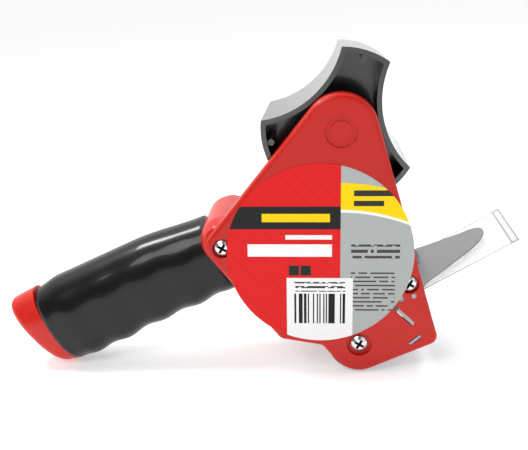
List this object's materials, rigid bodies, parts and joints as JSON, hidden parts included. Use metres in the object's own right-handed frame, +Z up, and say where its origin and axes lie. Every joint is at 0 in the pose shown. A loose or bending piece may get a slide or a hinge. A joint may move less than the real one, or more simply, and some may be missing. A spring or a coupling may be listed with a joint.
{
  "type": "tape dispenser",
  "caption": "Hand-held pistol-grip tape dispenser: plate frame, spinning hub with brake knob, free roller, toothed blade, sprung guide tongue and standing end cap.",
  "frame": {"origin": "centre of the overall box at the level of the table it stands on, with the dispenser on its end cap's foot and its roller", "axes": "+X from the handle towards the blade and tongue, +Y along the hub from the near side plate to the knob, +Z up"},
  "size_m": [0.256, 0.0618, 0.1589],
  "materials": {
    "plate_red": "gloss powder coat",
    "label": "printed paper",
    "steel": "rolled",
    "zinc": "bright zinc plate",
    "drum": "gloss",
    "red_plastic": "gloss",
    "knob": "satin",
    "friction": "fibre",
    "brass": "turned",
    "grip": "glossy",
    "roller_core": "moulded",
    "tyre": "matte",
    "clear": "clear film"
  },
  "bodies": {
    "frame": {"side_plate": "plate_red", "far_plate": "plate_red", "label_disc": "label", "hub_axle": "zinc", "thrust_washer": "friction", "brake_washer": "friction", "pressure_washer": "zinc", "brake_spring": "steel", "handle_core": "red_plastic", "grip_sleeve": "grip", "end_cap": "red_plastic", "frame_screws": "zinc", "front_spacer": "zinc", "roller_axle": "steel", "roller_washers": "zinc", "blade_holder": "steel", "blade": "steel", "blade_rivets": "zinc", "guide_bar": "steel", "tongue_pin": "steel", "tongue_spring": "steel", "tape_leader": "clear"},
    "drum": {"hub_drum": "drum"},
    "knob": {"tension_knob": "knob", "knob_insert": "brass"},
    "roller": {"roller_core": "roller_core", "roller_tyre": "tyre"},
    "tongue": {"tongue": "steel"}
  },
  "joints": [
    {"name": "hub_spin", "type": "hinge", "parent": "frame", "child": "drum", "pos_m": [0.04588, -0.0004, 0.12164], "axis": [0, 1, 0], "continuous": true},
    {"name": "knob_turn", "type": "hinge", "parent": "frame", "child": "knob", "pos_m": [0.04588, 0.0234, 0.12164], "axis": [0, 1, 0], "range_deg": [-180, 180]},
    {"name": "roller_spin", "type": "hinge", "parent": "frame", "child": "roller", "pos_m": [0.0504, -0.0004, 0.0154], "axis": [0, 1, 0], "continuous": true},
    {"name": "tongue_tilt", "type": "hinge", "parent": "frame", "child": "tongue", "pos_m": [0.0773, -0.0004, 0.03974], "axis": [0, -1, 0], "range_deg": [0, 14], "stiffness_Nm_per_rad": 0.25, "springref_deg": -17.19, "deforming": ["tongue_spring"]}
  ]
}
